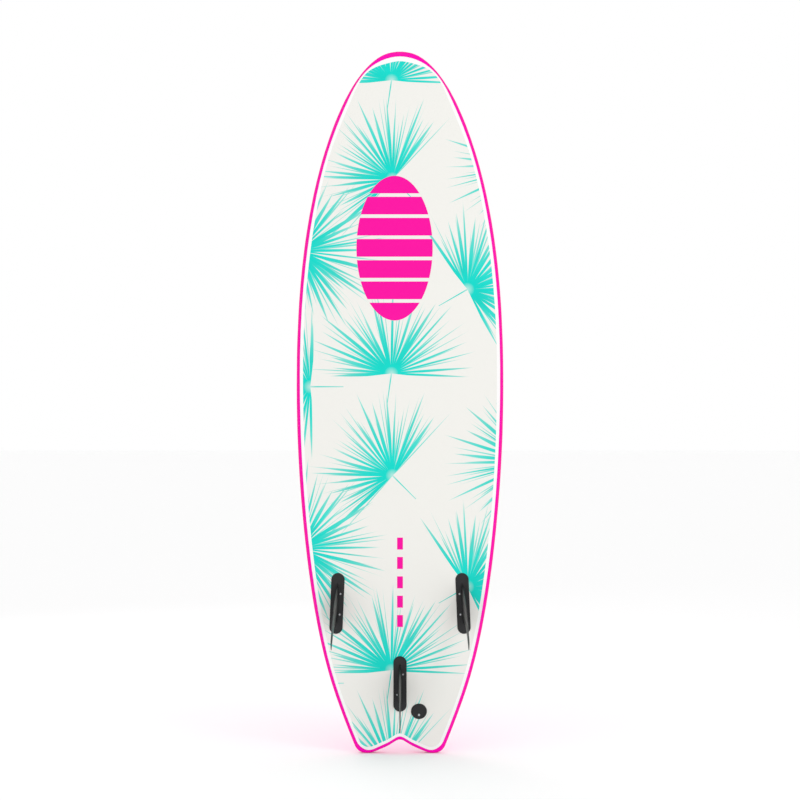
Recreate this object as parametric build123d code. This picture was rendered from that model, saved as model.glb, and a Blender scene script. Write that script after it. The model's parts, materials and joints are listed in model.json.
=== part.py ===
from build123d import *
import os
from math import cos, radians, sin, sqrt, tan

# A soft-top surfboard with a swallow tail, three removable fins and a leash plug.
# It stands on its tail: +Z runs from the tail to the nose, +X to the rider's right as the
# deck is looked at, the deck faces -Y and the bottom and the fins face +Y. The origin is on
# the floor, under the middle of the board's box. All sizes are in millimetres.

# Board
BOARD_LENGTH = 1828.8
BOARD_WIDTH = 533.4
BOARD_THICKNESS = 76.2
NOSE_LIFT = 102.0  # rocker: how far the bottom's nose end rises towards the deck
TAIL_LIFT = 46.0
NOSE_ROLL = 20.0  # radius that rounds the nose end from deck to bottom
RAIL_TUCK = 10.0  # width of the rounded lower corner of the rail
RAIL_SHARE = 0.38  # height of the widest line of the rail, as a share of the thickness there
DECK_CROWN = 0.74  # how far the deck's flat reaches out, from 0.55 for an ellipse to 1
RAIL_FULLNESS = 0.60  # how boxy the upper rail is, on the same scale
TAIL_NOTCH = 35.0  # depth of the swallow tail
TIP_SPACING = 172.0  # from one tail tip to the other
TAIL_ROUND = 5.0  # radius of the deck's edge along the tail

# Layers
SKIN = 5.0  # deck and rail foam
SLICK = 1.5  # bottom sheet
FILM = 0.4  # printed film, let into the bottom sheet's face
PRINT_EDGE = 8.0  # plain rim of the bottom sheet round the film
GLUE = 0.2  # glue line between the core and what covers it
STRINGER_WIDTH = 4.0
STRINGER_SPACING = 95.0  # from the middle stringer to each outer one
SEAM = 0.15  # gap all round a piece that is let into another

# Fin boxes and fins
SIDE_BOX_X = 162.0
SIDE_BOX_Z = 391.0
CENTRE_BOX_Z = 182.0
SIDE_PAD_LENGTH = 157.5
CENTRE_PAD_LENGTH = 145.0
PAD_WIDTH = 34.0
PAD_PROUD = 1.5
PAD_THICKNESS = 4.0
BOX_DEPTH = 18.0
BOX_MARGIN = 4.0  # how far the pad reaches past the box under it
TOE_IN = 2.5  # degrees, side fins' front ends towards the stringer
CANT = 4.0  # degrees, side fins' tips outwards
FIN_BASE = 107.0
FIN_DEPTH = 113.5
FIN_THICKNESS = 6.8
FIN_FRONT = 52.0  # from the middle of the box to the front of the fin's base
FIN_LIFT = 0.5  # between the pad and the fin's base
TAB_LENGTH = 30.0
TAB_WIDTH = 6.4
TAB_DEPTH = 13.0
TAB_SPACING = 53.5
FRONT_TAB = 25.0  # from the middle of the box to the middle of the front tab
SLOT_CLEARANCE = 0.2
SCREW_RADIUS = 2.5
SCREW_OFFSET = 9.0  # from the fin's middle plane, at the pad's face
SCREW_LEAN = 30.0  # degrees
SCREW_SINK = 1.5
SCREW_CHAMFER = 1.0
SCREW_TIP_GAP = 0.2  # between the tab and the screw's end
SCREW_LENGTH = (
    (SCREW_OFFSET - TAB_WIDTH / 2 - SCREW_TIP_GAP - SCREW_RADIUS * cos(radians(SCREW_LEAN)))
    / sin(radians(SCREW_LEAN)) - SCREW_SINK + SCREW_CHAMFER
)
HEX_ACROSS = 2.5
THREAD_CLEARANCE = 0.05

# Leash plug
PLUG_X = -49.0
PLUG_Z = 110.0
FLANGE_RADIUS = 20.5
FLANGE_PROUD = 2.5
FLANGE_RECESS = 2.0
SHANK_RADIUS = 15.0
CUP_RADIUS = 12.5
CUP_DEPTH = 10.0
BAR_RADIUS = 2.0
BAR_SINK = 1.5  # from the deck's surface down to the middle of the bar
BAR_GRIP = 1.6  # how far each end of the bar goes into the cup's wall
BAR_TURN = 20.0  # degrees, the bar's nose end towards the right rail
BOSS_LENGTH = 10.0
BOLT_RADIUS = 2.0
BOLT_HEAD_RADIUS = 2.8
BOLT_HEAD_HEIGHT = 2.2
BOLT_LENGTH = 16.0
BOLT_OFFSET = 9.2
STRING_DIAMETER = 3.0
KNOT_RADIUS = 6.5

# Grip patch
PATCH_LENGTH = 374.0
PATCH_WIDTH = 195.0
PATCH_Z = 1286.0
PATCH_THICKNESS = 0.6
PATCH_BARS = 7
PATCH_GAP = 9.0

# The outline, as shares of the length from the nose and of the half width.
OUTLINE = (
    (0.0, 0.0), (0.0049, 0.152), (0.0165, 0.268), (0.045, 0.430), (0.10, 0.617), (0.16, 0.755),
    (0.22, 0.854), (0.30, 0.938), (0.39, 0.988), (0.48, 1.0), (0.57, 0.985), (0.67, 0.937),
    (0.78, 0.846), (0.87, 0.722), (0.94, 0.572), (1.0, 0.410), (1.02, 0.352),
)
# How far the bottom rises, against the share of the length from the nose.
ROCKER = (
    (0.0, NOSE_LIFT), (0.0165, 0.865 * NOSE_LIFT), (0.045, 0.715 * NOSE_LIFT),
    (0.10, 0.465 * NOSE_LIFT), (0.16, 0.305 * NOSE_LIFT), (0.27, 0.13 * NOSE_LIFT),
    (0.385, 0.03 * NOSE_LIFT), (0.46, 0.0), (0.60, 0.0), (0.67, 0.06 * TAIL_LIFT),
    (0.785, 0.285 * TAIL_LIFT), (0.90, 0.57 * TAIL_LIFT), (0.955, 0.85 * TAIL_LIFT),
    (1.0, TAIL_LIFT), (1.02, 1.04 * TAIL_LIFT),
)
# The thickness, as shares of the length from the nose and of the greatest thickness.
FOIL = (
    (0.0, 0.59), (0.045, 0.69), (0.10, 0.787), (0.16, 0.853), (0.27, 0.955), (0.36, 0.99),
    (0.45, 1.0), (0.55, 1.0), (0.615, 0.984), (0.67, 0.958), (0.73, 0.888), (0.785, 0.814),
    (0.845, 0.770), (0.90, 0.68), (0.955, 0.515), (0.983, 0.41), (1.0, 0.32), (1.02, 0.27),
)
# Where the cross-sections stand, as shares of the length from the nose.
STATIONS = (
    0.0018, 0.0045, 0.009, 0.017, 0.030, 0.050, 0.082, 0.125, 0.18, 0.25, 0.33, 0.42, 0.51,
    0.60, 0.69, 0.77, 0.84, 0.895, 0.94, 0.975, 1.0, 1.014,
)
NOSE_END = 0.8  # the blunt end of the nose is this far short of its tip


def smooth(table, at):
    """The height at one place of a smooth curve through a table's points, with no overshoot."""
    gaps = [(b[0] - a[0], (b[1] - a[1]) / (b[0] - a[0])) for a, b in zip(table, table[1:])]
    slopes = [gaps[0][1]]
    for (width, slope), (next_width, next_slope) in zip(gaps, gaps[1:]):
        if slope * next_slope <= 0:
            slopes.append(0.0)
            continue
        first, last = 2 * next_width + width, next_width + 2 * width
        slopes.append((first + last) / (first / slope + last / next_slope))
    slopes.append(gaps[-1][1])
    place = max(i for i in range(len(gaps)) if i == 0 or table[i][0] <= at)
    width = gaps[place][0]
    t = (at - table[place][0]) / width
    low, high = table[place][1], table[place + 1][1]
    return (
        low * (1 + 2 * t) * (1 - t) ** 2
        + high * t * t * (3 - 2 * t)
        + width * (slopes[place] * t * (1 - t) ** 2 + slopes[place + 1] * t * t * (t - 1))
    )


ROUND_OUTLINE = [(sqrt(share), width) for share, width in OUTLINE]


def half_width(down):
    """Half the board's width, this far down from the nose."""
    return BOARD_WIDTH / 2 * smooth(ROUND_OUTLINE, sqrt(max(down, 0.0) / BOARD_LENGTH))


def lift(down):
    """How far the bottom stands off its lowest line, towards the deck."""
    return smooth(ROCKER, down / BOARD_LENGTH)


def thickness(down):
    return BOARD_THICKNESS * smooth(FOIL, down / BOARD_LENGTH)


def levels(down, skin, floor):
    """The y of the bottom, of the widest line of the rail and of the deck's middle."""
    reach, radius = down - skin, NOSE_ROLL - skin
    roll = radius - sqrt(radius**2 - (radius - reach) ** 2) if reach < radius else 0.0
    bottom = -lift(down) - floor - roll
    deck = -lift(down) - thickness(down) + skin + roll
    return bottom, bottom - RAIL_SHARE * (bottom - deck), deck


def section(down, skin, floor):
    """The board's cross-section, drawn in by one distance at deck and rail and one below."""
    half = min(half_width(down - skin), half_width(down) - skin)
    tuck = min(RAIL_TUCK - skin, half / 2)
    bottom, rail, deck = levels(down, skin, floor)
    round_end = 0.5523
    edges = [Edge.make_line((tuck - half, bottom), (half - tuck, bottom))]
    for side in (1, -1):
        corner = [
            (side * (half - tuck), bottom),
            (side * (half - tuck * (1 - round_end)), bottom),
            (side * half, rail + (bottom - rail) * (1 - round_end)),
            (side * half, rail),
        ]
        upper = [
            (side * half, rail),
            (side * half, rail + (deck - rail) * RAIL_FULLNESS),
            (side * half * DECK_CROWN, deck),
            (0, deck),
        ]
        pair = [Edge.make_bezier(*corner), Edge.make_bezier(*upper)]
        edges += pair if side > 0 else [pair[1], pair[0]]
    return Pos(0, 0, BOARD_LENGTH - down) * Wire(edges)


def hull(skin=0.0, floor=0.0):
    """The board's solid without its tail notch, or the same drawn in by the layers."""
    span = BOARD_LENGTH - skin - NOSE_END
    first = STATIONS[0]
    downs = [skin + NOSE_END + span * (share - first) for share in STATIONS]
    return Solid.make_loft([section(down, skin, floor) for down in downs])


def tail_curve(rise):
    """The swallow tail's edge, from beyond the left rail to beyond the right one."""
    tip = TIP_SPACING / 2
    half = [
        (0.28 * tip, 0.66 * TAIL_NOTCH), (0.58 * tip, 0.30 * TAIL_NOTCH), (tip, 0.0),
        (1.21 * tip, 4.5), (1.35 * tip, 16.0), (1.465 * tip, 30.0),
    ]
    right = [(x, z + rise) for x, z in half]
    left = [(-x, z) for x, z in reversed(right)]
    return Spline(*left, (0, TAIL_NOTCH + rise), *right)


def tail_cutter(rise):
    """All that lies below the swallow tail's edge."""
    edge = tail_curve(rise)
    start, end = edge @ 0, edge @ 1
    below = -0.1 * BOARD_LENGTH
    rest = Polyline(end, (end.X, below), (start.X, below), start)
    face = Plane.XZ * Face(Wire(edge.edges() + rest.edges()))
    return extrude(face, amount=2 * BOARD_THICKNESS + NOSE_LIFT, both=True)


def bottom_zone(margin, tail_rise):
    """A block through the bottom sheet whose outline runs this far inside the board's."""
    shares = (0.03, 0.075, 0.14, 0.25, 0.38, 0.50, 0.63, 0.76, 0.87, 0.94, 0.982)
    right = [
        (half_width(BOARD_LENGTH * share) - margin, BOARD_LENGTH * (1 - share))
        for share in shares
    ]
    left = [(-x, z) for x, z in reversed(right)]
    nose = (0, BOARD_LENGTH - 1.7 * margin)
    shoulder = (0.40 * right[0][0], BOARD_LENGTH - 1.7 * margin - 0.07 * right[0][0])
    rails = Spline(*left, (-shoulder[0], shoulder[1]), nose, shoulder, *right)
    tip = TIP_SPACING / 2
    tail_half = [
        (0.28 * tip, 0.66 * TAIL_NOTCH + tail_rise), (0.58 * tip, 0.30 * TAIL_NOTCH + tail_rise),
        (tip, tail_rise), (1.13 * tip, tail_rise + 5.0),
    ]
    tail = Spline(
        right[-1],
        *reversed(tail_half),
        (0, TAIL_NOTCH + tail_rise),
        *[(-x, z) for x, z in tail_half],
        left[0],
    )
    outline = Plane.XZ * Face(Wire(rails.edges() + tail.edges()))
    block = extrude(outline, amount=2 * BOARD_THICKNESS + NOSE_LIFT, both=True)
    middle = [
        (-lift(BOARD_LENGTH * share) - 0.25 * thickness(BOARD_LENGTH * share),
         BOARD_LENGTH * (1 - share))
        for share in (-0.01, 0.01, 0.05, 0.12, 0.22, 0.35, 0.50, 0.65, 0.78, 0.88, 0.96, 1.01)
    ]
    out = 2 * BOARD_THICKNESS
    side = Polyline(middle[-1], (out, middle[-1][1]), (out, middle[0][1]), middle[0])
    below = Plane.YZ * Face(Wire(Spline(*middle).edges() + side.edges()))
    return block & extrude(below, amount=BOARD_WIDTH, both=True)


def oval(length, width, low, high):
    return Pos(0, 0, low) * extrude(SlotOverall(length, width), amount=high - low)


def cylinder(radius, low, high):
    return Pos(0, 0, (low + high) / 2) * Cylinder(radius, high - low)


def bottom_plane(x, z, toe=0.0):
    """A plane on the bottom: its x points to the nose, turned by the toe, and its z outwards."""
    step = 5.0
    slope = (lift(BOARD_LENGTH - z - step) - lift(BOARD_LENGTH - z + step)) / (2 * step)
    plane = Plane((x, -lift(BOARD_LENGTH - z), z), x_dir=(0, -slope, 1), z_dir=(0, 1, slope))
    return Plane(plane.location * Rot(0, 0, toe))


def deck_y(x, z):
    """The deck's y at a place near the middle of the board, where the crown is a parabola."""
    _, rail, deck = levels(BOARD_LENGTH - z, 0.0, 0.0)
    share = x / half_width(BOARD_LENGTH - z)
    return deck + (rail - deck) * (1 - RAIL_FULLNESS) * share**2 / (3 * DECK_CROWN**2)


def deck_plane(x, z):
    """A plane on the deck: its x points to the right, its y to the nose and its z outwards."""
    step = 5.0
    across = (deck_y(x + step, z) - deck_y(x - step, z)) / (2 * step)
    along = (deck_y(x, z + step) - deck_y(x, z - step)) / (2 * step)
    return Plane((x, deck_y(x, z), z), x_dir=(1, across, 0), z_dir=(across, -1, along))


def box_pocket(length, gap):
    """What a fin box fills: its pad, let into the bottom sheet, and the box under it."""
    pad = oval(length + 2 * gap, PAD_WIDTH + 2 * gap, PAD_PROUD - PAD_THICKNESS, PAD_PROUD)
    inner = (length - 2 * BOX_MARGIN + 2 * gap, PAD_WIDTH - 2 * BOX_MARGIN + 2 * gap)
    return pad + oval(*inner, -BOX_DEPTH - gap, 0.0)


def screw_planes(sides):
    """Where the grub screws stand in a fin's own frame: +z runs out along each one."""
    planes = []
    for tab, side in enumerate(sides):
        lean = side * radians(SCREW_LEAN)
        out = Vector(0, sin(lean), cos(lean))
        mouth = Vector(FRONT_TAB - tab * TAB_SPACING, side * SCREW_OFFSET, -FIN_LIFT)
        planes.append(Plane(mouth - out * SCREW_SINK, x_dir=(1, 0, 0), z_dir=out))
    return planes


def grub_screw():
    screw = Cylinder(SCREW_RADIUS, SCREW_LENGTH)
    screw = chamfer(screw.edges().group_by(Axis.Z)[0], SCREW_CHAMFER)
    socket = extrude(RegularPolygon(HEX_ACROSS / 2, 6, major_radius=False), amount=2.5)
    return Pos(0, 0, -SCREW_LENGTH / 2) * (screw - Pos(0, 0, SCREW_LENGTH / 2 - 2.0) * socket)


def tab(clearance, low, high):
    length, width = TAB_LENGTH + 2 * clearance, TAB_WIDTH + 2 * clearance
    return Pos(0, 0, (low + high) / 2) * Box(length, width, high - low)


def fin_box(length, sides, fin_frame):
    """The moulded box: pad, two slots and two threaded holes, in its pad's frame."""
    body = box_pocket(length, 0.0)
    body = fillet(body.edges().group_by(Axis.Z)[-1], 1.0)
    for place in (FRONT_TAB, FRONT_TAB - TAB_SPACING):
        slot = Pos(place, 0, 0) * tab(SLOT_CLEARANCE, -TAB_DEPTH - 0.4, 10.0)
        body -= fin_frame * slot
    for plane in screw_planes(sides):
        hole = cylinder(SCREW_RADIUS + THREAD_CLEARANCE, -SCREW_LENGTH - 3.0, 8.0)
        body -= fin_frame * (plane.location * hole)
    return body


def foil_section(depth, front, back, thick):
    """One cross-section of the fin: round in front, fine at the back."""
    chord = back - front
    start, end = (FIN_FRONT - front, 0), (FIN_FRONT - back, 0)
    halves = []
    for side in (1, -1):
        controls = [
            start,
            (FIN_FRONT - front - 0.08 * chord, side * 0.62 * thick),
            (FIN_FRONT - front - 0.55 * chord, side * 0.72 * thick),
            end,
        ]
        halves.append(Edge.make_bezier(*(controls if side > 0 else controls[::-1])))
    return Pos(0, 0, depth) * Wire(halves)


def fin():
    """A raked fin on two tabs, with its base along x and its depth along z."""
    front = [(0, 0), (0.187, 0.317), (0.467, 0.634), (0.785, 0.875), (1.075, 0.996)]
    tip = [(1.31, 0.973), (1.452, 0.855)]
    back = [(1.335, 0.735), (1.13, 0.578), (0.98, 0.35), (0.95, 0.19), (1.0, 0.0)]
    shape = [(FIN_FRONT - FIN_BASE * u, FIN_DEPTH * w) for u, w in front + tip + back]
    outline = Face(Wire(Spline(*shape).edges() + [Edge.make_line(shape[-1], shape[0])]))
    blade = extrude(Plane.XZ * outline, amount=FIN_THICKNESS, both=True)
    cuts = [
        (0.0, 0.0, 1.0, 1.0), (0.18, 0.095, 0.955, 0.94), (0.35, 0.21, 0.985, 0.85),
        (0.53, 0.365, 1.09, 0.74), (0.71, 0.545, 1.28, 0.62), (0.88, 0.785, 1.52, 0.48),
        (1.05, 1.10, 1.66, 0.36),
    ]
    foil = Solid.make_loft([
        foil_section(FIN_DEPTH * w, FIN_BASE * u - 0.3, FIN_BASE * end + 3.0, FIN_THICKNESS * t)
        for w, u, end, t in cuts
    ])
    whole = blade & foil
    for place in (FRONT_TAB, FRONT_TAB - TAB_SPACING):
        whole += Pos(place, 0, 0) * tab(0.0, -TAB_DEPTH, 0.5)
    return whole


def string_tube(points):
    """A round tube along straight runs, with an arc as large as its runs allow at each point."""
    points = [Vector(*point) for point in points]
    runs = [b - a for a, b in zip(points, points[1:])]
    radii = [
        0.45 * min(a.length, b.length) / tan(radians(a.get_angle(b) / 2))
        for a, b in zip(runs, runs[1:])
    ]
    print("string arcs", [round(radius, 1) for radius in radii])
    path = FilletPolyline(*points, radius=radii)
    profile = Plane(points[0], z_dir=runs[0]) * Circle(STRING_DIAMETER / 2)
    tube = sweep(profile, path=path)
    full = path.length * 3.14159 * STRING_DIAMETER**2 / 4
    print("string length", round(path.length, 1), "volume share", round(tube.volume / full, 4))
    return tube


# The string, in the deck's frame at the plug: x to the right, y to the nose, z off the deck.
# Each half starts under the bar, comes out over the cup's rim and ends past the knot.
KNOT = (-2.2, -76.0, 8.0)
LEFT_HALF = (
    (0.0, 0.0, -5.4), (-4.4, 0.0, -5.4), (-8.2, -2.2, -1.4), (-9.6, -5.2, 5.0),
    (-11.4, -9.6, 11.6), (-13.8, -16.8, 17.4), (-15.5, -26.4, 19.8), (-14.4, -36.4, 19.2),
    (-10.8, -45.4, 16.4), (-6.2, -54.2, 12.6), (-3.6, -64.4, 9.9), (-3.4, -73.6, 8.9),
    (-8.2, -79.6, 9.2), (-14.4, -82.4, 7.6), (-20.2, -84.4, 5.4),
)
RIGHT_HALF = (
    (0.0, 0.0, -5.4), (4.4, 0.0, -5.4), (8.2, -2.2, -1.4), (9.4, -5.2, 5.0),
    (11.0, -9.6, 11.2), (13.8, -16.8, 15.8), (15.9, -26.4, 17.2), (15.2, -36.4, 16.4),
    (12.2, -45.8, 14.2), (7.4, -55.2, 11.6), (3.4, -64.6, 9.4), (0.2, -73.2, 7.6),
    (-4.6, -80.4, 6.0), (-9.8, -86.2, 5.2), (-14.6, -91.2, 4.6),
)


def build():
    """Every piece, by name, before the board is centred over its origin."""
    whole = hull()
    outer = whole - tail_cutter(0.0)
    _, tail_rail, _ = levels(BOARD_LENGTH, 0.0, 0.0)
    tail_edge = [
        edge for edge in outer.edges()
        if edge.bounding_box().max.Z < TAIL_NOTCH + 1.0 and edge.center().Y < tail_rail
    ]
    outer = fillet(tail_edge, TAIL_ROUND)
    cavity = hull(SKIN, SLICK) - tail_cutter(SKIN + 1.0)
    core = hull(SKIN + GLUE, SLICK + GLUE) - tail_cutter(SKIN + 1.0 + GLUE)
    shell = outer - cavity
    slick = shell & bottom_zone(RAIL_TUCK + SEAM, SKIN + 4.0)
    skin = shell - bottom_zone(RAIL_TUCK, SKIN + 4.0 - SEAM)
    film = whole & bottom_zone(RAIL_TUCK + PRINT_EDGE, SKIN + 4.0 + PRINT_EDGE)
    film -= Pos(0, -FILM, 0) * whole
    slick -= film

    # Fin boxes, with their fins and screws
    boxes = {
        "left": (bottom_plane(-SIDE_BOX_X, SIDE_BOX_Z, TOE_IN), SIDE_PAD_LENGTH, CANT, (1, 1)),
        "centre": (bottom_plane(0.0, CENTRE_BOX_Z), CENTRE_PAD_LENGTH, 0.0, (-1, 1)),
        "right": (bottom_plane(SIDE_BOX_X, SIDE_BOX_Z, -TOE_IN), SIDE_PAD_LENGTH, -CANT, (-1, -1)),
    }
    pieces, frames, pockets = {}, {}, []
    fin_shape, screw_shape = fin(), grub_screw()
    for name, (plane, length, cant, sides) in boxes.items():
        pockets.append(plane.location * box_pocket(length, SEAM))
        fin_frame = Pos(0, 0, PAD_PROUD + FIN_LIFT) * Rot(cant, 0, 0)
        pieces[f"fin_box_{name}"] = plane.location * fin_box(length, sides, fin_frame)
        frames[f"fin_{name}"] = plane.location * fin_frame
        frames[f"fin_seat_{name}"] = plane.location * Pos(length / 2 - PAD_WIDTH / 2, 0, PAD_PROUD)
        pieces[f"fin_{name}"] = frames[f"fin_{name}"] * fin_shape
        for end, screw_plane in zip(("front", "rear"), screw_planes(sides)):
            frame = plane.location * fin_frame * screw_plane.location
            frames[f"screw_{name}_{end}"] = frame
            pieces[f"screw_{name}_{end}"] = frame * screw_shape

    # Leash plug, through the board
    deck, under = deck_plane(PLUG_X, PLUG_Z), bottom_plane(PLUG_X, PLUG_Z)
    deep = 1.5 * BOARD_THICKNESS
    spigot = cylinder(SHANK_RADIUS, -BOSS_LENGTH, 0.0)
    beyond_boss = under.location * (Pos(0, 0, deep / 2 - BOSS_LENGTH) * Box(deep, deep, deep))
    cup = cylinder(FLANGE_RADIUS, -FLANGE_RECESS, FLANGE_PROUD)
    cup = fillet(cup.edges().group_by(Axis.Z)[-1], 1.5)
    cup = cup + cylinder(SHANK_RADIUS, -deep, 0.0) - cylinder(CUP_RADIUS, -CUP_DEPTH, 9.0)
    bar_half = CUP_RADIUS + BAR_GRIP
    bar_place = Pos(0, 0, -BAR_SINK) * Rot(0, 0, -BAR_TURN) * Rot(90, 0, 0)
    cup -= bar_place * Cylinder(BAR_RADIUS + THREAD_CLEARANCE, 2 * bar_half)
    bolt_place = Pos(-BOLT_OFFSET, 0, FLANGE_RECESS - BOLT_HEAD_HEIGHT - 0.4)
    bolt = cylinder(BOLT_RADIUS, -BOLT_LENGTH, 0.0) + cylinder(
        BOLT_HEAD_RADIUS, 0.0, BOLT_HEAD_HEIGHT
    )
    bolt -= cylinder(1.2, BOLT_HEAD_HEIGHT - 1.2, BOLT_HEAD_HEIGHT + 1.0)
    wide = BOLT_RADIUS + THREAD_CLEARANCE
    bolt_hole = cylinder(wide, -BOLT_LENGTH - 1.0, 0.0) + cylinder(
        BOLT_HEAD_RADIUS + THREAD_CLEARANCE, 0.0, 9.0
    )
    base = fillet(
        cylinder(FLANGE_RADIUS, -FLANGE_RECESS, FLANGE_RECESS).edges().group_by(Axis.Z)[-1], 1.5
    )
    groove = Pos(-BOLT_OFFSET / 2, 0, FLANGE_RECESS) * Box(BOLT_OFFSET + 5.0, 3.4, 2.4)
    base = base + spigot - groove - bolt_place * bolt_hole
    pieces["leash_cup"] = (
        deck.location * cup - beyond_boss - under.location * (bolt_place * bolt_hole)
    )
    pieces["leash_bar"] = deck.location * (bar_place * Cylinder(BAR_RADIUS, 2 * bar_half))
    pieces["plug_base"] = under.location * base
    pieces["plug_bolt"] = under.location * (bolt_place * bolt)
    fit = FLANGE_RADIUS + SEAM
    pockets.append(deck.location * (
        cylinder(fit, -FLANGE_RECESS, 20.0) + cylinder(SHANK_RADIUS + SEAM, -deep, 0.0)
    ) - under.location * (Pos(0, 0, deep / 2) * Box(deep, deep, deep)))
    pockets.append(under.location * (
        cylinder(fit, -FLANGE_RECESS, 20.0) + cylinder(SHANK_RADIUS + SEAM, -BOSS_LENGTH, 0.0)
    ))
    knot = Pos(*KNOT) * Sphere(KNOT_RADIUS)
    pieces["string_left"] = deck.location * (string_tube(LEFT_HALF) - knot)
    pieces["string_right"] = deck.location * (string_tube(RIGHT_HALF) - knot)
    pieces["string_knot"] = deck.location * knot
    frames["plug_deck"], frames["plug_under"] = deck.location, under.location

    # Layers, cut for all that is let into them
    for pocket in pockets:
        slick, skin, core = slick - pocket, skin - pocket, core - pocket
        film -= pocket
    pieces["deck_skin"], pieces["bottom_slick"], pieces["bottom_film"] = skin, slick, film
    high = 2 * BOARD_LENGTH
    for name, x in (("left", -STRINGER_SPACING), ("centre", 0.0), ("right", STRINGER_SPACING)):
        pieces[f"stringer_{name}"] = core & Pos(x, 0, 0) * Box(STRINGER_WIDTH, high, high)
    half, inner, rim = STRINGER_WIDTH / 2, STRINGER_SPACING, BOARD_WIDTH
    for side, sign in (("left", -1), ("right", 1)):
        for name, near, far in (("inner", half, inner - half), ("outer", inner + half, rim)):
            slab = Pos(sign * (near + far) / 2, 0, 0) * Box(far - near, high, high)
            pieces[f"core_{name}_{side}"] = core & slab

    # Grip patch: bars cut to an oval, on the deck
    bar = (PATCH_LENGTH - (PATCH_BARS - 1) * PATCH_GAP) / PATCH_BARS
    bars = Sketch() + [
        Pos(0, (i - (PATCH_BARS - 1) / 2) * (bar + PATCH_GAP)) * Rectangle(PATCH_WIDTH, bar)
        for i in range(PATCH_BARS)
    ]
    bars &= Ellipse(PATCH_WIDTH / 2, PATCH_LENGTH / 2)
    block = extrude(Pos(0, 0, PATCH_Z) * (Plane.XZ * bars), amount=2 * BOARD_THICKNESS)
    pieces["deck_grip_patch"] = (block & Pos(0, -PATCH_THICKNESS, 0) * outer) - outer
    return pieces, frames


pieces, frames = build()
board = Compound([
    solid for name, piece in pieces.items() if not name.startswith("string_")
    for solid in piece.solids()
])
box = board.bounding_box()
centring = Pos(0, -(box.min.Y + box.max.Y) / 2, 0)
print("box", box.size, "moved in y by", round(centring.position.Y, 3))
for name, place in frames.items():
    at = centring * place
    out = Plane(at).z_dir
    print(name, [round(v / 1000, 5) for v in at.position], [round(v, 5) for v in out])
os.makedirs("parts", exist_ok=True)
for name, piece in pieces.items():
    export_step(centring * Compound(piece.solids()), f"parts/{name}.step")
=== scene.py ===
# %% [markdown]
# # A soft-top surfboard, finished in Blender
# The board stands on its tail. Its frame comes from CAD: a foam skin round the deck and the
# rails, a slick bottom sheet, three fins in their boxes and a leash plug. This notebook gives
# each of those its real finish, and builds what is soft: the string in the leash plug.
# Every length is in metres, +Z runs from the tail to the nose, the deck faces -Y and the
# bottom and the fins face +Y.

# %% The frame
import json
import math

import bpy
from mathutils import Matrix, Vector


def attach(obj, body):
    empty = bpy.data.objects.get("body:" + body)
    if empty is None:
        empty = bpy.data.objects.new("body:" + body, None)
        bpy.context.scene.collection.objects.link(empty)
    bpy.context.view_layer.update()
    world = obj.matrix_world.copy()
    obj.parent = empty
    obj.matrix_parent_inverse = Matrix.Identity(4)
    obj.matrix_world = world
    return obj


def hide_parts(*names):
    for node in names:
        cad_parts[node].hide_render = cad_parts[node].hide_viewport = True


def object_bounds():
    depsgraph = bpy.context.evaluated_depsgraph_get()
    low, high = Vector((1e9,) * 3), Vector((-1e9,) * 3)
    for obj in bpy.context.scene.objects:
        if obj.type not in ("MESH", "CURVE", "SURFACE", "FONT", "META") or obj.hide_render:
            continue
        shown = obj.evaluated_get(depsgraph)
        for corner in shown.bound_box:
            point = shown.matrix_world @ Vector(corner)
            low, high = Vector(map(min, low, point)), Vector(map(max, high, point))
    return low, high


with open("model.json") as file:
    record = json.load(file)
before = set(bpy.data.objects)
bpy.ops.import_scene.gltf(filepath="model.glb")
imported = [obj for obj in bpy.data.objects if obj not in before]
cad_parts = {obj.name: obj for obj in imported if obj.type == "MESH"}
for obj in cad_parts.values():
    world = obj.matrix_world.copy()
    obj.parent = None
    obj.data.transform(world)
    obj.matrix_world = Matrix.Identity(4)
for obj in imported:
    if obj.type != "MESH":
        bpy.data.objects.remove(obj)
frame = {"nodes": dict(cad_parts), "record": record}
nodes, record = frame["nodes"], frame["record"]
mounts = {mount["name"]: mount for mount in record["mounts"]}
cad_low, cad_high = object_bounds()
MM = 0.001
print("the board's box", [round(high - low, 3) for low, high in zip(cad_low, cad_high)])

# %% [markdown]
# ## The camera
# A board is shown flat on, standing up, from a few metres away, so the camera is level with
# its middle and faces the bottom, where the print, the boxes and the fins are. The lens
# follows from the height that the picture takes in at the board.

# %% Camera
CAMERA_DISTANCE = 5.0
PICTURE_HEIGHT = 2.06
SENSOR = 36.0
middle = (cad_low + cad_high) / 2
bpy.ops.object.camera_add(
    location=(middle.x, CAMERA_DISTANCE, middle.z), rotation=(math.pi / 2, 0, math.pi)
)
camera = bpy.context.object
camera.data.sensor_width = SENSOR
camera.data.lens = SENSOR * CAMERA_DISTANCE / PICTURE_HEIGHT
bpy.context.scene.camera = camera
print("lens", round(camera.data.lens, 1), "mm")

# %% [markdown]
# ## The leash string
# A short loop of braided polyester goes round the steel bar in the leash plug. Its two ends
# come out over the rim of the cup, stand off the deck in a loose bow, meet in one overhand
# knot and stop in two short tails. A cord of one thickness is a NURBS curve with a round
# bevel: the control points say where it goes and the curve rounds every corner.
# The points are in the deck's own frame at the plug: x to the right, y to the nose and z off
# the deck, in millimetres.

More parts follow.
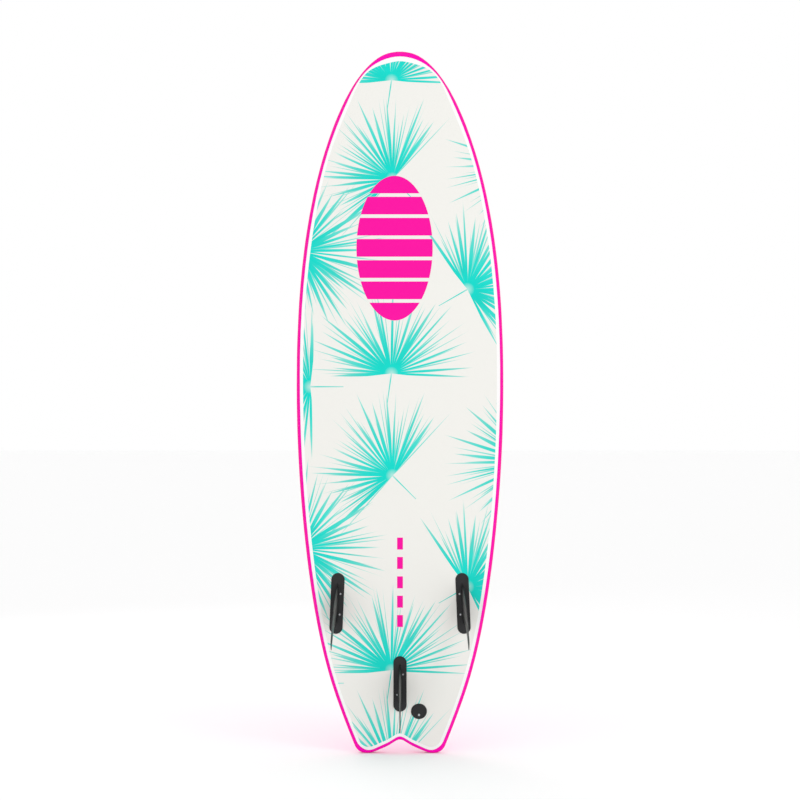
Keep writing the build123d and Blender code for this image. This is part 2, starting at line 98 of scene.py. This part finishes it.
# %% String routes
STRING_DIAMETER = 3.0 * MM
BAR_SINK = 1.5 * MM
LEFT_HALF = (
    (0.0, 0.0, -5.4), (-4.4, 0.0, -5.4), (-8.2, -2.2, -1.4), (-9.6, -5.2, 5.0),
    (-11.4, -9.6, 11.6), (-13.8, -16.8, 17.4), (-15.5, -26.4, 19.8), (-14.4, -36.4, 19.2),
    (-10.8, -45.4, 16.4), (-6.2, -54.2, 12.6), (-3.6, -64.4, 9.9), (-3.4, -73.6, 8.9),
    (-8.2, -79.6, 9.2), (-14.4, -82.4, 7.6), (-20.2, -84.4, 5.4),
)
RIGHT_HALF = (
    (0.0, 0.0, -5.4), (4.4, 0.0, -5.4), (8.2, -2.2, -1.4), (9.4, -5.2, 5.0),
    (11.0, -9.6, 11.2), (13.8, -16.8, 15.8), (15.9, -26.4, 17.2), (15.2, -36.4, 16.4),
    (12.2, -45.8, 14.2), (7.4, -55.2, 11.6), (3.4, -64.6, 9.4), (0.2, -73.2, 7.6),
    (-4.6, -80.4, 6.0), (-9.8, -86.2, 5.2), (-14.6, -91.2, 4.6),
)
KNOT = (-2.2, -76.0, 8.0)
plug_out = Vector(mounts["leash_bar_loop"]["axis"])
plug_place = Vector(mounts["leash_bar_loop"]["pos_m"]) + plug_out * BAR_SINK
plug_right = Vector((-plug_out.y, plug_out.x, 0)).normalized()
plug_up = plug_out.cross(plug_right)


def at_plug(point):
    """A place in the board's frame, from one in the deck's frame at the plug."""
    x, y, z = (value * MM for value in point)
    return plug_place + plug_right * x + plug_up * y + plug_out * z


# %% String tubes
def tube(name, points, thickness, closed=False):
    """A round cord along control points, as a mesh, and the line that its middle follows."""
    curve = bpy.data.curves.new(name, "CURVE")
    curve.dimensions = "3D"
    curve.resolution_u = 10
    spline = curve.splines.new("NURBS")
    spline.points.add(len(points) - 1)
    for place, point in zip(spline.points, points):
        place.co = (*point, 1)
    spline.order_u = 3
    spline.use_endpoint_u = not closed
    spline.use_cyclic_u = closed
    piece = bpy.data.objects.new(name, curve)
    bpy.context.scene.collection.objects.link(piece)
    line = [vertex.co.copy() for vertex in bpy.data.meshes.new_from_object(piece).vertices]
    curve.bevel_depth = thickness / 2
    curve.bevel_resolution = 5
    curve.use_fill_caps = not closed
    bpy.ops.object.select_all(action="DESELECT")
    piece.select_set(True)
    bpy.context.view_layer.objects.active = piece
    bpy.ops.object.convert(target="MESH")
    bpy.ops.object.shade_smooth_by_angle(angle=math.radians(50))
    piece = bpy.context.object
    print(name, len(line), "points,", len(piece.data.vertices), "vertices")
    return piece, line


strings, lines = {}, {}
for side, half in (("left", LEFT_HALF), ("right", RIGHT_HALF)):
    strings[side], lines[side] = tube(
        f"string_half_{side}", [at_plug(point) for point in half], STRING_DIAMETER
    )

# %% [markdown]
# ## The knot
# The two halves are tied together in one overhand knot. A pulled overhand knot is a trefoil:
# a closed curve that winds twice round while it weaves three times. Its formula gives the
# control points, and a tube nearly as thick as the loops are wide makes it look tight.

# %% Knot
KNOT_LOOP = 1.62 * MM
KNOT_POINTS = 24
knot_points = []
for i in range(KNOT_POINTS):
    turn = 2 * math.pi * i / KNOT_POINTS
    across = math.sin(turn) + 2 * math.sin(2 * turn)
    along = 1.15 * (math.cos(turn) - 2 * math.cos(2 * turn))
    weave = -1.35 * math.sin(3 * turn)
    offset = plug_right * across + plug_up * along + plug_out * weave
    knot_points.append(at_plug(KNOT) + offset * KNOT_LOOP)
knot, _ = tube("string_knot_tied", knot_points, STRING_DIAMETER, closed=True)

# %% [markdown]
# ## Ends of the string
# A cut polyester cord is melted with a flame so that it doesn't fray, which leaves a small
# hard bead. It starts as a ball, is flattened along the cord and gets an uneven face.

# %% Melted ends
BEAD_RADIUS = 1.75 * MM


def melted_end(name, points):
    """A bead on the last of a cord's points."""
    bpy.ops.object.select_all(action="DESELECT")
    bpy.ops.mesh.primitive_uv_sphere_add(segments=24, ring_count=14, radius=BEAD_RADIUS)
    bead = bpy.context.object
    bead.name = name
    bpy.ops.object.mode_set(mode="EDIT")
    bpy.ops.transform.resize(value=(1.0, 1.0, 0.7))
    bpy.ops.transform.vertex_random(offset=0.14 * MM, seed=3)
    bpy.ops.mesh.select_all(action="SELECT")
    bpy.ops.mesh.vertices_smooth(factor=0.5)
    bpy.ops.object.mode_set(mode="OBJECT")
    bpy.ops.object.shade_smooth()
    along = Vector(points[-1]) - Vector(points[-2])
    bead.rotation_mode = "QUATERNION"
    bead.rotation_quaternion = along.to_track_quat("Z", "Y")
    bead.location = points[-1]
    bpy.ops.object.transform_apply(location=True, rotation=True, scale=True)
    return bead


beads = {
    "left": melted_end("string_end_left", [at_plug(p) for p in LEFT_HALF]),
    "right": melted_end("string_end_right", [at_plug(p) for p in RIGHT_HALF]),
}
for side, string in strings.items():
    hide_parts(f"string_{side}")
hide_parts("string_knot")
for piece in (*strings.values(), *beads.values(), knot):
    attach(piece, "board")

# %% [markdown]
# ## Tools for materials
# A material is a small tree of nodes. One function adds a node: it sets the node's own
# settings, and each input is given a number, or another node to be linked from. Colours are
# written as the hex values a paint chart gives, which are sRGB, and turned to the linear
# values that a shader needs.

# %% Node and colour functions
def colour(code):
    """Linear red, green, blue and alpha of an sRGB hex colour such as #ff8800."""
    shares = [int(code[i:i + 2], 16) / 255 for i in (1, 3, 5)]
    linear = [s / 12.92 if s <= 0.04045 else ((s + 0.055) / 1.055) ** 2.4 for s in shares]
    return (*linear, 1.0)


def add(tree, kind, inputs=(), **settings):
    """Adds a node with its settings, and links or sets its inputs."""
    node = tree.nodes.new(kind)
    for name, value in settings.items():
        setattr(node, name, value)
    for name, value in dict(inputs).items():
        if isinstance(name, int):
            socket = node.inputs[name]
        else:
            socket = next(s for s in node.inputs if s.name == name and s.enabled)
        if isinstance(value, bpy.types.Node):
            value = next(s for s in value.outputs if s.enabled)
        if isinstance(value, bpy.types.NodeSocket):
            tree.links.new(value, socket)
        else:
            socket.default_value = value
    return node


def finish_material(name, inputs):
    """A new material with one Principled shader, and its tree."""
    material = bpy.data.materials.new(name)
    material.use_nodes = True
    tree = material.node_tree
    tree.nodes.clear()
    shader = add(tree, "ShaderNodeBsdfPrincipled", inputs)
    add(tree, "ShaderNodeOutputMaterial", {"Surface": shader.outputs["BSDF"]})
    return material, tree, shader


def give(material, *names):
    """Puts one material on CAD nodes."""
    for name in names:
        nodes[name].material_slots[0].material = material


# %% [markdown]
# ## Deck foam
# The deck and the rails are wrapped in one sheet of closed-cell foam, dyed right through.
# Its skin is matt, with a pebble grain of about a millimetre pressed in by the roller. The
# grain is drawn at 2.4 mm, because at its real size it would vanish from a few metres away.
# Painted shade: the pink is darker and redder where the rails turn from the deck and bottom.

# %% Deck foam
GRAIN = 2.4 * MM
foam, tree, shader = finish_material("deck foam sheet, pebbled", {
    "Roughness": 0.75, "IOR": 1.5, "Specular IOR Level": 0.12,
})
place = add(tree, "ShaderNodeTexCoord").outputs["Object"]
normal = add(tree, "ShaderNodeNewGeometry").outputs["Normal"]
facing = add(tree, "ShaderNodeSeparateXYZ", {"Vector": normal})
to_deck = add(tree, "ShaderNodeMath", {0: facing.outputs["Y"]}, operation="ABSOLUTE")
flatness = add(tree, "ShaderNodeMapRange", {
    "Value": to_deck, "From Min": 0.35, "From Max": 0.98,
}, interpolation_type="SMOOTHSTEP")
# Painted shade: the pink darkens and reddens as the face turns from the deck or bottom onto
# the rails.
dye_with_rail_shade = add(tree, "ShaderNodeMix", {
    "Factor": flatness, "A": colour("#f8009c"), "B": colour("#fa00b4"),
}, data_type="RGBA")
pebbles = add(tree, "ShaderNodeTexVoronoi", {
    "Vector": place, "Scale": 1 / GRAIN, "Randomness": 0.9,
}, feature="SMOOTH_F1")
bump = add(tree, "ShaderNodeBump", {
    "Height": pebbles.outputs["Distance"], "Strength": 0.7, "Distance": 0.5 * MM,
})
tree.links.new(bump.outputs["Normal"], shader.inputs["Normal"])
give(foam, "deck_skin")

# %% [markdown]
# ## Stamp on the deck
# A ring of twenty short black dashes is screen printed on the left of the tail. A dash is
# a band of the distance round one centre and a share of each step of the angle.

# %% Ring of dashes
STAMP_X, STAMP_Z = -0.090, 0.409
STAMP_RADIUS = 0.052
STAMP_BAND = 5.0 * MM
STAMP_DASHES = 20
STAMP_SHARE = 0.6
spot = add(tree, "ShaderNodeSeparateXYZ", {"Vector": place})
known = {"x": spot.outputs["X"], "z": spot.outputs["Z"], "out": facing.outputs["Y"]}
for name, operation, *parts in (
    ("aside", "SUBTRACT", "x", STAMP_X),
    ("above", "SUBTRACT", "z", STAMP_Z),
    ("squared", "MULTIPLY", "aside", "aside"),
    ("far squared", "MULTIPLY_ADD", "above", "above", "squared"),
    ("far", "SQRT", "far squared"),
    ("in ring", "COMPARE", "far", STAMP_RADIUS, STAMP_BAND / 2),
    ("turn", "ARCTAN2", "above", "aside"),
    ("steps", "MULTIPLY", "turn", STAMP_DASHES / (2 * math.pi)),
    ("in step", "FRACT", "steps"),
    ("in dash", "LESS_THAN", "in step", STAMP_SHARE),
    ("dash", "MULTIPLY", "in ring", "in dash"),
    ("on deck", "LESS_THAN", "out", 0.0),
    ("stamp", "MULTIPLY", "dash", "on deck"),
):
    inputs = {i: known.get(part, part) for i, part in enumerate(parts)}
    known[name] = add(tree, "ShaderNodeMath", inputs, operation=operation)
stamped = add(tree, "ShaderNodeMix", {
    "Factor": known["stamp"], "A": dye_with_rail_shade, "B": colour("#141214"),
}, data_type="RGBA")
tree.links.new(next(s for s in stamped.outputs if s.enabled), shader.inputs["Base Color"])

# %% [markdown]
# ## Bottom sheet
# The bottom is a sheet of polyethylene, rolled slick and glossy, with its picture printed on
# the back of a clear film. The picture is a repeat of six fan palm leaves. A leaf is a fan of
# long thin blades round one point, so it is easiest to draw in polar terms: an angle round
# the point and a reach from it. The angle is cut into equal steps, each step holds one blade,
# and a random number for each step gives the blade its own length, width and lean.

# %% One ring of blades
def new_group(name, given, made):
    """An empty node group with number inputs and outputs, but for Place, a vector."""
    tree = bpy.data.node_groups.new(name, "ShaderNodeTree")
    for names, way in ((given, "INPUT"), (made, "OUTPUT")):
        for label in names:
            kind = "NodeSocketVector" if label == "Place" else "NodeSocketFloat"
            tree.interface.new_socket(label, in_out=way, socket_type=kind)
    return tree


BLADE_EDGE = 0.7 * MM
ring = new_group(
    "ring of blades", ("Angle", "Reach", "Step", "Opening", "Length", "Width", "Seed"),
    ("Ink",),
)
given = add(ring, "NodeGroupInput")
known = {socket.name: socket for socket in given.outputs if socket.name}
for name, operation, *parts in (
    ("steps", "DIVIDE", "Angle", "Step"),
    ("blade", "ROUND", "steps"),
    ("draw", "MULTIPLY_ADD", "Seed", 17.3, "blade"),
):
    inputs = {i: known.get(part, part) for i, part in enumerate(parts)}
    known[name] = add(ring, "ShaderNodeMath", inputs, operation=operation)
chance = add(ring, "ShaderNodeTexWhiteNoise", {"W": known["draw"]}, noise_dimensions="1D")
chances = add(ring, "ShaderNodeSeparateColor", {"Color": chance.outputs["Color"]})
known.update(zip(("lean", "long", "broad"), chances.outputs))
for name, operation, *parts in (
    ("off", "MULTIPLY_ADD", "lean", 0.5, -0.25),
    ("from blade", "SUBTRACT", "steps", "blade"),
    ("turned", "SUBTRACT", "from blade", "off"),
    ("turned angle", "MULTIPLY", "turned", "Step"),
    ("aside", "MULTIPLY", "turned angle", "Reach"),
    ("away", "ABSOLUTE", "aside"),
    ("share", "MULTIPLY_ADD", "long", 0.36, 0.66),
    ("end", "MULTIPLY", "share", "Length"),
    ("along", "DIVIDE", "Reach", "end"),
    ("left over", "SUBTRACT", 1.0, "along"),
    ("swell", "MULTIPLY_ADD", "along", 1.7, 0.5),
    ("taper", "MULTIPLY", "left over", "swell"),
    ("breadth", "MULTIPLY_ADD", "broad", 0.6, 0.4),
    ("widest", "MULTIPLY", "breadth", "Width"),
    ("half width", "MULTIPLY", "taper", "widest"),
    ("inside", "SUBTRACT", "half width", "away"),
    ("sharp", "DIVIDE", "inside", BLADE_EDGE),
    ("solid", "MINIMUM", "sharp", 1.0),
    ("drawn", "MAXIMUM", "solid", 0.0),
    ("blade angle", "MULTIPLY", "blade", "Step"),
    ("from middle", "ABSOLUTE", "blade angle"),
    ("open", "LESS_THAN", "from middle", "Opening"),
    ("kept", "MULTIPLY", "drawn", "open"),
    ("far", "POWER", "along", 3.0),
    ("fade", "MULTIPLY_ADD", "far", -0.45, 1.0),
    ("ink", "MULTIPLY", "kept", "fade"),
):
    inputs = {i: known.get(part, part) for i, part in enumerate(parts)}
    known[name] = add(ring, "ShaderNodeMath", inputs, operation=operation)
add(ring, "NodeGroupOutput", {"Ink": known["ink"]})

# %% [markdown]
# A whole leaf is two such rings, one of broad blades and one of thin ones between them, and
# a stem. Where the blades meet, the leaf is folded and lets light through, so the ink is
# palest at the middle.

# %% A whole palm leaf
REPEAT = 0.764
BLADE_LENGTH = 0.235
BROAD_BLADE = 8.2 * MM
THIN_BLADE = 3.8 * MM
BROAD_STEP = math.radians(8.4)
THIN_STEP = math.radians(6.1)
STEM_LENGTH = 0.085
STEM_WIDTH = 2.1 * MM
GLOW_RADIUS = 18.0 * MM
THIN_INK = 0.8
STEM_INK = 0.95
leaf = new_group(
    "palm leaf", ("Place", "Across", "Up", "Turn", "Opening", "Stem", "Seed"),
    ("Ink", "Glow"),
)
given = add(leaf, "NodeGroupInput")
known = {socket.name: socket for socket in given.outputs if socket.name}
parts = add(leaf, "ShaderNodeSeparateXYZ", {"Vector": known["Place"]})
known.update(x=parts.outputs["X"], z=parts.outputs["Z"])
for name, operation, *parts in (
    ("dx", "SUBTRACT", "x", "Across"),
    ("far up", "SUBTRACT", "z", "Up"),
    ("dz", "WRAP", "far up", REPEAT / 2, -REPEAT / 2),
    ("xx", "MULTIPLY", "dx", "dx"),
    ("rr", "MULTIPLY_ADD", "dz", "dz", "xx"),
    ("reach", "SQRT", "rr"),
    ("bearing", "ARCTAN2", "dx", "dz"),
    ("unturned", "SUBTRACT", "bearing", "Turn"),
    ("angle", "WRAP", "unturned", math.pi, -math.pi),
    ("next seed", "ADD", "Seed", 5.0),
):
    inputs = {i: known.get(part, part) for i, part in enumerate(parts)}
    known[name] = add(leaf, "ShaderNodeMath", inputs, operation=operation)
rings = []
for step, width, seed in (
    (BROAD_STEP, BROAD_BLADE, "Seed"), (THIN_STEP, THIN_BLADE, "next seed"),
):
    made = add(leaf, "ShaderNodeGroup", node_tree=ring)
    for name, value in (
        ("Angle", known["angle"]), ("Reach", known["reach"]), ("Step", step),
        ("Opening", known["Opening"]), ("Length", BLADE_LENGTH), ("Width", width),
        ("Seed", known[seed]),
    ):
        if isinstance(value, float):
            made.inputs[name].default_value = value
        elif isinstance(value, bpy.types.Node):
            leaf.links.new(value.outputs[0], made.inputs[name])
        else:
            leaf.links.new(value, made.inputs[name])
    rings.append(made)
known.update(broad=rings[0].outputs["Ink"], thin=rings[1].outputs["Ink"])
for name, operation, *parts in (
    ("sin", "SINE", "Stem"),
    ("cos", "COSINE", "Stem"),
    ("x part", "MULTIPLY", "dx", "sin"),
    ("down stem", "MULTIPLY_ADD", "dz", "cos", "x part"),
    ("z part", "MULTIPLY", "dz", "sin"),
    ("across stem", "MULTIPLY_ADD", "dx", "cos", 0.0),
    ("off stem", "SUBTRACT", "across stem", "z part"),
    ("beside", "ABSOLUTE", "off stem"),
    ("thinning", "MULTIPLY_ADD", "down stem", -STEM_WIDTH / STEM_LENGTH / 2, STEM_WIDTH),
    ("in stem", "SUBTRACT", "thinning", "beside"),
    ("sharp", "DIVIDE", "in stem", BLADE_EDGE),
    ("solid", "MINIMUM", "sharp", STEM_INK),
    ("drawn", "MAXIMUM", "solid", 0.0),
    ("out", "GREATER_THAN", "down stem", 0.0),
    ("not past", "LESS_THAN", "down stem", STEM_LENGTH),
    ("some", "MULTIPLY", "drawn", "out"),
    ("stem ink", "MULTIPLY", "some", "not past"),
    ("soft", "MULTIPLY", "thin", THIN_INK),
    ("blades", "MAXIMUM", "broad", "soft"),
    ("ink", "MAXIMUM", "blades", "stem ink"),
    ("near", "MULTIPLY_ADD", "reach", -1 / GLOW_RADIUS, 1.0),
    ("nearer", "MAXIMUM", "near", 0.0),
    ("glow", "MULTIPLY", "nearer", "ink"),
):
    inputs = {i: known.get(part, part) for i, part in enumerate(parts)}
    known[name] = add(leaf, "ShaderNodeMath", inputs, operation=operation)
add(leaf, "NodeGroupOutput", {"Ink": known["ink"], "Glow": known["glow"]})

# %% [markdown]
# ## The picture on the film
# The sheet itself is plain white and shows as a rim round the film. On the film six leaves
# are laid out and repeated along the board, in two blends of turquoise that a slow noise
# mixes, on an off-white ground.

# %% The leaves on the film
# Each leaf's place across and up, which way it opens, how far to each side, and its stem.
LEAVES = (
    (0.022, 1.746, 0, 97, 172),
    (0.019, 1.484, 48, 92, -135),
    (-0.334, 1.518, 90, 80, -90),
    (0.259, 1.297, -90, 86, 90),
    (-0.173, 1.198, -58, 97, 120),
    (0.230, 0.948, 90, 97, -90),
)
slick, _, _ = finish_material("polyethylene sheet, rolled slick", {
    "Base Color": colour("#f7f7f6"), "Roughness": 0.3, "IOR": 1.5,
    "Specular IOR Level": 0.15,
})
give(slick, "bottom_slick")
film, tree, shader = finish_material("polyethylene film, printed", {
    "Roughness": 0.3, "IOR": 1.5, "Specular IOR Level": 0.15,
})
place = add(tree, "ShaderNodeTexCoord").outputs["Object"]
totals = {"Ink": 0.0, "Glow": 0.0}
for number, (across, up, turn, opening, stem) in enumerate(LEAVES):
    made = add(tree, "ShaderNodeGroup", node_tree=leaf)
    tree.links.new(place, made.inputs["Place"])
    for name, value in (
        ("Across", across), ("Up", up), ("Turn", math.radians(turn)),
        ("Opening", math.radians(opening)), ("Stem", math.radians(stem)),
        ("Seed", number * 3.1 + 1.0),
    ):
        made.inputs[name].default_value = value
    for name, total in totals.items():
        totals[name] = add(tree, "ShaderNodeMath", {0: made.outputs[name], 1: total},
                           operation="MAXIMUM")
wash = add(tree, "ShaderNodeTexNoise", {"Vector": place, "Scale": 14.0, "Detail": 3.0})
ink = add(tree, "ShaderNodeMix", {
    "Factor": wash.outputs["Fac"], "A": colour("#00c9ba"), "B": colour("#0ce0d2"),
}, data_type="RGBA")
glowing = add(tree, "ShaderNodeMix", {
    "Factor": totals["Glow"], "A": ink, "B": colour("#b4e4dc"),
}, data_type="RGBA")
picture = add(tree, "ShaderNodeMix", {
    "Factor": totals["Ink"], "A": colour("#ecebe6"), "B": glowing,
}, data_type="RGBA")

# %% [markdown]
# ## Badge and marks
# Over the leaves, one magenta oval of bars echoes the grip patch on the deck, and a row of
# five short bars runs down the middle. Both are worked out from the place on the board: a
# place is inside the oval when its distance, measured in the oval's half sizes, is under one,
# and inside a bar when what is left after dividing by the spacing is small.

# %% Badge and marks on the film
BADGE_X, BADGE_Z = 0.014, 1.305
BADGE_HALF_WIDTH, BADGE_HALF_LENGTH = 0.098, 0.187
BADGE_BARS = 7
BADGE_GAP = 9.0 * MM
BADGE_PITCH = (2 * BADGE_HALF_LENGTH + BADGE_GAP) / BADGE_BARS
MARKS_Z, MARKS_LENGTH = 0.455, 0.250
MARK_WIDTH = 15.0 * MM
MARK_PITCH = MARKS_LENGTH / 5
MARK_SHARE = 0.62
spot = add(tree, "ShaderNodeSeparateXYZ", {"Vector": place})
known = {"x": spot.outputs["X"], "z": spot.outputs["Z"]}
for name, operation, *parts in (
    ("from middle", "SUBTRACT", "x", BADGE_X),
    ("across", "DIVIDE", "from middle", BADGE_HALF_WIDTH),
    ("across squared", "MULTIPLY", "across", "across"),
    ("above", "SUBTRACT", "z", BADGE_Z),
    ("up", "DIVIDE", "above", BADGE_HALF_LENGTH),
    ("far", "MULTIPLY_ADD", "up", "up", "across squared"),
    ("in oval", "LESS_THAN", "far", 1.0),
    ("from end", "ADD", "above", BADGE_HALF_LENGTH),
    ("in pitch", "FLOORED_MODULO", "from end", BADGE_PITCH),
    ("in bar", "LESS_THAN", "in pitch", BADGE_PITCH - BADGE_GAP),
    ("badge", "MULTIPLY", "in oval", "in bar"),
    ("aside", "ABSOLUTE", "x"),
    ("narrow", "LESS_THAN", "aside", MARK_WIDTH / 2),
    ("off marks", "SUBTRACT", "z", MARKS_Z),
    ("away", "ABSOLUTE", "off marks"),
    ("among marks", "LESS_THAN", "away", MARKS_LENGTH / 2),
    ("from first", "ADD", "off marks", MARKS_LENGTH / 2),
    ("pitches", "DIVIDE", "from first", MARK_PITCH),
    ("in step", "FRACT", "pitches"),
    ("in mark", "LESS_THAN", "in step", MARK_SHARE),
    ("in row", "MULTIPLY", "narrow", "among marks"),
    ("mark", "MULTIPLY", "in row", "in mark"),
    ("printed", "MAXIMUM", "badge", "mark"),
):
    inputs = {i: known.get(part, part) for i, part in enumerate(parts)}
    known[name] = add(tree, "ShaderNodeMath", inputs, operation=operation)
magenta = add(tree, "ShaderNodeMix", {
    "Factor": known["printed"], "A": picture, "B": colour("#f6009f"),
}, data_type="RGBA")
tree.links.new(next(s for s in magenta.outputs if s.enabled), shader.inputs["Base Color"])
give(film, "bottom_film")

# %% [markdown]
# ## Moulded black nylon
# Fins, fin boxes and both halves of the leash plug are injection moulded in nylon filled
# with glass fibre. The fins come from a polished tool and the boxes from a spark-eroded one,
# so the two share a faint grain of about a millimetre and differ in colour and gloss.

# %% Black plastics
MOULD_GRAIN = 0.9 * MM
BOXES = ("fin_box_left", "fin_box_centre", "fin_box_right", "leash_cup", "plug_base")
FINS = ("fin_left", "fin_centre", "fin_right")
for name, tint, rough, members in (
    ("fin nylon, moulded", "#161617", 0.36, FINS),
    ("box nylon, moulded", "#18181a", 0.46, BOXES),
):
    plastic, tree, shader = finish_material(name, {
        "Base Color": colour(tint), "Roughness": rough, "IOR": 1.53,
        "Specular IOR Level": 0.35,
    })
    place = add(tree, "ShaderNodeTexCoord").outputs["Object"]
    grain = add(tree, "ShaderNodeTexNoise", {
        "Vector": place, "Scale": 1 / MOULD_GRAIN, "Detail": 2.0,
    })
    bump = add(tree, "ShaderNodeBump", {
        "Height": grain.outputs["Fac"], "Strength": 0.15, "Distance": 0.1 * MM,
    })
    tree.links.new(bump.outputs["Normal"], shader.inputs["Normal"])
    give(plastic, *members)

# %% [markdown]
# ## Stainless steel
# The grub screws, the bolt and the bar of the plug are plain stainless steel: a metal with a
# neutral grey and a fine turned face. The bar is given a darker grey and a rougher face.

# %% Steel pieces
steel, _, _ = finish_material("stainless steel, turned", {
    "Base Color": colour("#b9babd"), "Metallic": 1.0, "Roughness": 0.3,
})
give(steel, *[name for name in nodes if name.startswith("screw_")], "plug_bolt")
# The bar in the cup gets a darker grey than the screws.
darker_steel, _, _ = finish_material("stainless steel, darker grey", {
    "Base Color": colour("#57575a"), "Metallic": 1.0, "Roughness": 0.45,
})
give(darker_steel, "leash_bar")

# %% [markdown]
# ## Grip patch
# The patch on the deck is a black coat with sharp sand in it, so that a hand doesn't slip.
# Each grain is a cell of about two millimetres, which a Voronoi pattern draws as a bump.

# %% Grip coat
GRIT = 2.2 * MM
grip, tree, shader = finish_material("grip coat, sanded", {
    "Base Color": colour("#242023"), "Roughness": 0.9, "Specular IOR Level": 0.3,
})
place = add(tree, "ShaderNodeTexCoord").outputs["Object"]
grit = add(tree, "ShaderNodeTexVoronoi", {"Vector": place, "Scale": 1 / GRIT})
bump = add(tree, "ShaderNodeBump", {
    "Height": grit.outputs["Distance"], "Strength": 0.9, "Distance": 0.6 * MM,
})
tree.links.new(bump.outputs["Normal"], shader.inputs["Normal"])
give(grip, "deck_grip_patch")

# %% [markdown]
# ## Braided cord
# The string is a round braid of black polyester. Its strands are under a millimetre wide, so
# a cell pattern at that size, pressed in as a bump, is enough to dull its shine unevenly.

# %% Cord
STRAND = 0.8 * MM
braid, tree, shader = finish_material("polyester cord, braided", {
    "Base Color": colour("#121113"), "Roughness": 0.75, "Specular IOR Level": 0.3,
})
place = add(tree, "ShaderNodeTexCoord").outputs["Object"]
strands = add(tree, "ShaderNodeTexVoronoi", {"Vector": place, "Scale": 1 / STRAND})
bump = add(tree, "ShaderNodeBump", {
    "Height": strands.outputs["Distance"], "Strength": 0.6, "Distance": 0.3 * MM,
})
tree.links.new(bump.outputs["Normal"], shader.inputs["Normal"])
for piece in (*strings.values(), *beads.values(), knot):
    piece.data.materials.clear()
    piece.data.materials.append(braid)

# %% [markdown]
# ## Inside the board
# The core is cut from blocks of white bead foam, with three strips of ply between them that
# keep the board stiff. They are hidden, and plain colours tell them apart in a cut view.

# %% Core and stringers
core, _, _ = finish_material("bead foam, cut", {
    "Base Color": colour("#ededea"), "Roughness": 0.9,
})
give(core, *[name for name in nodes if name.startswith("core_")])
ply, _, _ = finish_material("ply, sawn", {"Base Color": colour("#b8935f"), "Roughness": 0.7})
give(ply, *[name for name in nodes if name.startswith("stringer_")])

# %% [markdown]
# ## Smooth shading
# The CAD pieces come as flat facets. Faces that meet at less than 35 degrees are one curved
# surface on the real board and are shaded as one; sharper edges stay crisp.

# %% Smooth shading
SMOOTH_BELOW = math.radians(35)
for name, node in nodes.items():
    bpy.ops.object.select_all(action="DESELECT")
    node.select_set(True)
    bpy.context.view_layer.objects.active = node
    bpy.ops.object.shade_smooth_by_angle(angle=SMOOTH_BELOW)

# %% [markdown]
# ## Studio
# A board is shown on white paper in even light, so the room itself is the main light: a
# white world. One small round lamp from above gives the fins their soft shadows, and a
# weaker one behind lifts the deck.

# %% Floor, world and lamps
bpy.ops.object.select_all(action="DESELECT")
bpy.ops.mesh.primitive_plane_add(size=60.0, location=(0, 0, 0))
floor = bpy.context.object
floor.name = "studio_floor"
paper, _, _ = finish_material("floor paper, matt", {
    "Base Color": colour("#fcfcfc"), "Roughness": 0.9,
})
floor.data.materials.append(paper)
world = bpy.data.worlds.new("studio")
bpy.context.scene.world = world
world.use_nodes = True
background = next(node for node in world.node_tree.nodes if node.type == "BACKGROUND")
background.inputs["Color"].default_value = colour("#ffffff")
background.inputs["Strength"].default_value = 1.0
for name, spot, size, power in (
    ("key", (-1.9, 2.4, 2.4), 0.8, 10.0),
    ("back", (1.2, -2.6, 2.2), 1.4, 9.0),
):
    bpy.ops.object.light_add(type="AREA", location=spot)
    lamp = bpy.context.object
    lamp.name = name
    lamp.data.shape = "DISK"
    lamp.data.size = size
    lamp.data.energy = power
    lamp.rotation_euler = (middle - Vector(spot)).to_track_quat("-Z", "Y").to_euler()
bpy.context.scene.view_settings.view_transform = "Standard"
